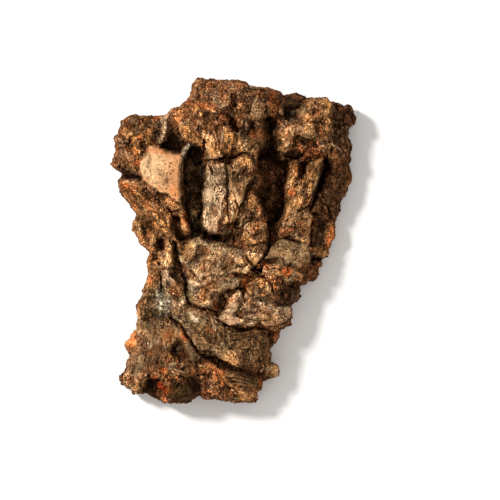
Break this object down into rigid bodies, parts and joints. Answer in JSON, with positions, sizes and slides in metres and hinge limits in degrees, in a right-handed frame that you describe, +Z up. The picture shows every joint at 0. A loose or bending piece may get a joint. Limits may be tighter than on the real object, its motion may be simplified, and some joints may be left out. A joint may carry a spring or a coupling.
{
  "type": "piece of bark",
  "caption": "Loose thick piece of tree bark with deeply fissured corky crust, lying on its inner face.",
  "frame": {"origin": "centre of the bounding box in plan, on the surface the piece lies on", "axes": "+X to the right and +Y to the wide end as the picture shows them, +Z up out of the crust"},
  "size_m": [0.191, 0.252, 0.0596],
  "materials": {
    "bark": "rough corky bark, grey-tan weathered crust, rust-orange fresh breaks, near-black fissures, matte"
  },
  "bodies": {
    "root": {"bark": "bark"}
  },
  "joints": []
}
